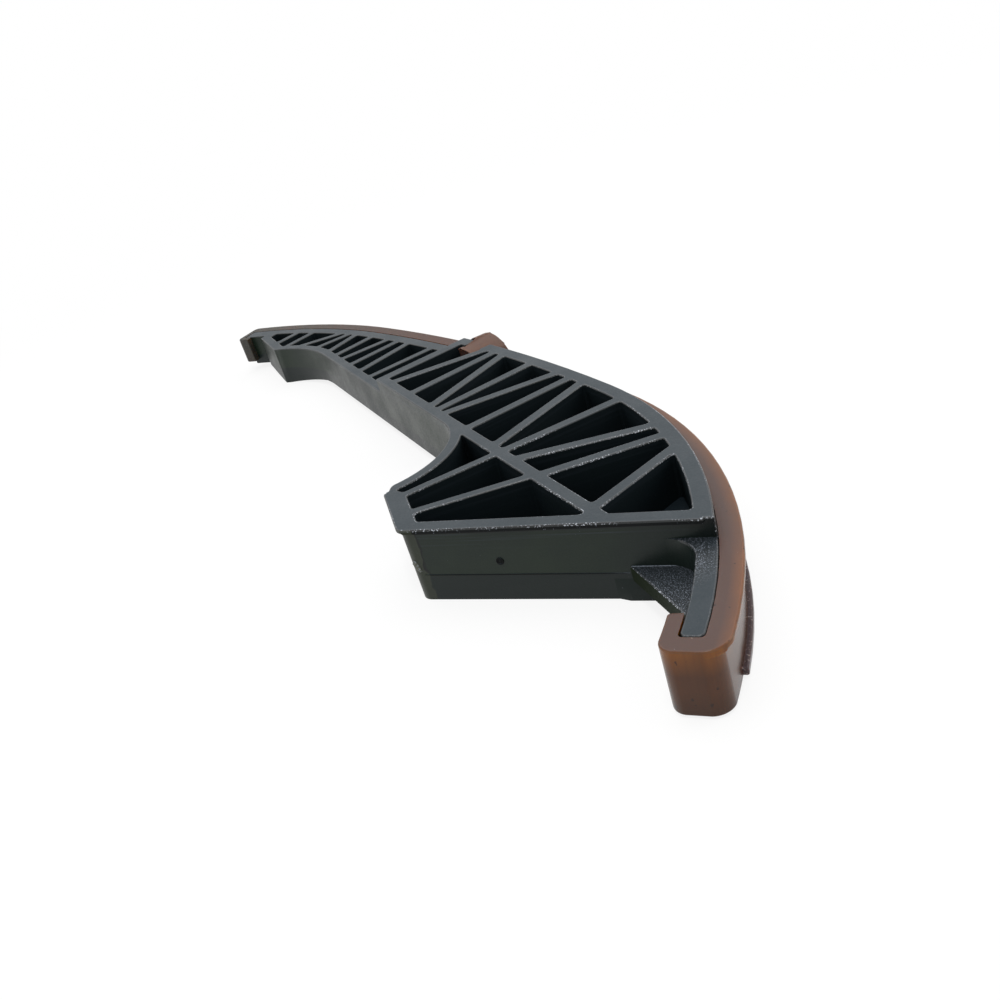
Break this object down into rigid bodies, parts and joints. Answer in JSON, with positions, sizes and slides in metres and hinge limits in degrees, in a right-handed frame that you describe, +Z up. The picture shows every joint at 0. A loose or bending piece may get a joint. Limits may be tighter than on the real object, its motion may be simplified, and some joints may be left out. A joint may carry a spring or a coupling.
{
  "type": "timing chain guide",
  "caption": "Curved engine chain guide: a black moulded lattice carrier with a brown slide shoe hooked along its bowed edge.",
  "frame": {"origin": "bottom centre of the bounding box, with the part lying on its side as in the picture", "axes": "+X along the straight spine from the hooked near end to the far end, +Y from the bowed edge towards the spur, +Z up out of the raised lattice"},
  "size_m": [0.2782, 0.0644, 0.0169],
  "materials": {
    "carrier": "matte",
    "slide_shoe": "satin"
  },
  "bodies": {
    "root": {"carrier": "carrier", "slide_shoe": "slide_shoe"}
  },
  "joints": []
}
